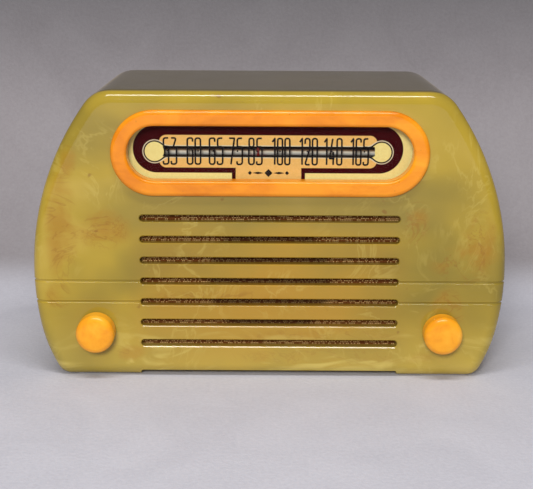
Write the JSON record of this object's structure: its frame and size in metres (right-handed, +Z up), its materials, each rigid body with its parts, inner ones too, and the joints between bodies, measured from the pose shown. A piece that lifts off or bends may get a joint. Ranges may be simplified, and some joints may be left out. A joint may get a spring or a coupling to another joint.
{
  "type": "bakelite table radio",
  "caption": "Marbled cast-resin table radio: shouldered cabinet with horizontal louvres, slide-rule dial in a stadium bezel, round volume and tuning knobs, chassis, speaker and cord drive.",
  "frame": {"origin": "on the surface the radio stands on, under the middle of its bounding box", "axes": "+X to the right seen from the front, -Y out of the front, +Z up"},
  "size_m": [0.273, 0.1422, 0.167],
  "materials": {
    "cabinet_resin": "polished",
    "trim_resin": "polished",
    "clear_glass": "clear",
    "printed_scale": "printed",
    "plated_steel": "dull plated",
    "black_steel": "satin black",
    "red_steel": "satin",
    "bright_steel": "polished",
    "laminations": "varnished",
    "aluminium": "drawn",
    "brass": "turned",
    "copper_wire": "enamelled",
    "fibreboard": "hard pressed",
    "grille_fabric": "woven",
    "felt": "pressed",
    "dial_cord_braid": "waxed braid",
    "speaker_paper": "pulp",
    "waxed_paper": "waxed",
    "black_rubber": "moulded",
    "brown_phenolic": "moulded"
  },
  "bodies": {
    "radio": {"cabinet_shell": "cabinet_resin", "dial_bezel": "trim_resin", "dial_glass": "clear_glass", "dial_scale": "printed_scale", "dial_clips": "plated_steel", "front_panel_screws": "plated_steel", "grille_cloth": "grille_fabric", "baffle_board": "fibreboard", "knob_felt_washers": "felt", "tuning_bushing": "brass", "volume_control_body": "plated_steel", "panel_nuts": "plated_steel", "chassis_pan": "plated_steel", "chassis_screws": "plated_steel", "chassis_washers": "black_rubber", "mains_grommet": "black_rubber", "pointer_cord": "dial_cord_braid", "drive_cord": "dial_cord_braid", "idler_studs": "plated_steel", "dial_frame": "plated_steel", "pointer_rail": "bright_steel", "pilot_lamp_holder": "brass", "pilot_lamp_bulb": "clear_glass", "gang_frame": "plated_steel", "gang_stator_plates": "aluminium", "gang_insulators": "brown_phenolic", "gang_bracket": "plated_steel", "gang_grommets": "black_rubber", "speaker_gasket": "fibreboard", "speaker_basket": "black_steel", "speaker_magnet": "plated_steel", "speaker_surround": "speaker_paper", "speaker_spider": "speaker_paper", "speaker_bolts": "plated_steel", "output_transformer_core": "laminations", "output_transformer_winding": "copper_wire", "if_transformer_cans": "aluminium", "filter_capacitor_can": "aluminium", "tube_sockets": "brown_phenolic", "metal_valves": "black_steel", "glass_valve_bulbs": "clear_glass", "glass_valve_bases": "brown_phenolic", "glass_valve_electrodes": "laminations", "paper_capacitors": "waxed_paper", "resistors": "brown_phenolic", "back_panel": "fibreboard", "back_panel_screws": "plated_steel", "loop_antenna": "copper_wire"},
    "volume_control": {"volume_knob": "trim_resin", "volume_shaft": "plated_steel"},
    "tuning_control": {"tuning_knob": "trim_resin", "tuning_shaft": "brass"},
    "gang_rotor": {"gang_rotor_shaft": "brass", "gang_rotor_plates": "aluminium", "cord_drum": "aluminium"},
    "left_idler": {"idler_pulley_left": "brass"},
    "right_idler": {"idler_pulley_right": "brass"},
    "pointer": {"dial_pointer": "red_steel"},
    "cone_assembly": {"speaker_cone": "speaker_paper", "voice_coil": "copper_wire"}
  },
  "joints": [
    {"name": "volume_turn", "type": "hinge", "parent": "radio", "child": "volume_control", "pos_m": [-0.1, -0.0583, 0.028], "axis": [0, 1, 0], "range_deg": [0, 300]},
    {"name": "gang_turn", "type": "hinge", "parent": "radio", "child": "gang_rotor", "pos_m": [0.088, -0.0183, 0.088], "axis": [0, 1, 0], "range_deg": [-82.28, 97.72]},
    {"name": "tuning_turn", "type": "hinge", "parent": "radio", "child": "tuning_control", "pos_m": [0.1, -0.0583, 0.028], "axis": [0, 1, 0], "range_deg": [-871.73, 1035.15]},
    {"name": "left_idler_turn", "type": "hinge", "parent": "radio", "child": "left_idler", "pos_m": [-0.075, -0.0445, 0.118], "axis": [0, 1, 0], "range_deg": [-494.2, 586.8]},
    {"name": "right_idler_turn", "type": "hinge", "parent": "radio", "child": "right_idler", "pos_m": [0.046, -0.0445, 0.106], "axis": [0, 1, 0], "range_deg": [-586.8, 494.2]},
    {"name": "pointer_slide", "type": "slide", "parent": "radio", "child": "pointer", "axis": [1, 0, 0], "range_m": [-0.0518, 0.0615]},
    {"name": "cone_travel", "type": "slide", "parent": "radio", "child": "cone_assembly", "axis": [0, 1, 0], "range_m": [-0.0008, 0.0008], "stiffness_N_per_m": 900}
  ],
  "couplings": [
    {"joint": "tuning_turn", "follows": "gang_turn", "ratio": 10.588},
    {"joint": "left_idler_turn", "follows": "gang_turn", "ratio": 6},
    {"joint": "right_idler_turn", "follows": "gang_turn", "ratio": -6},
    {"joint": "pointer_slide", "follows": "gang_turn", "m_per_rad": 0.036}
  ]
}
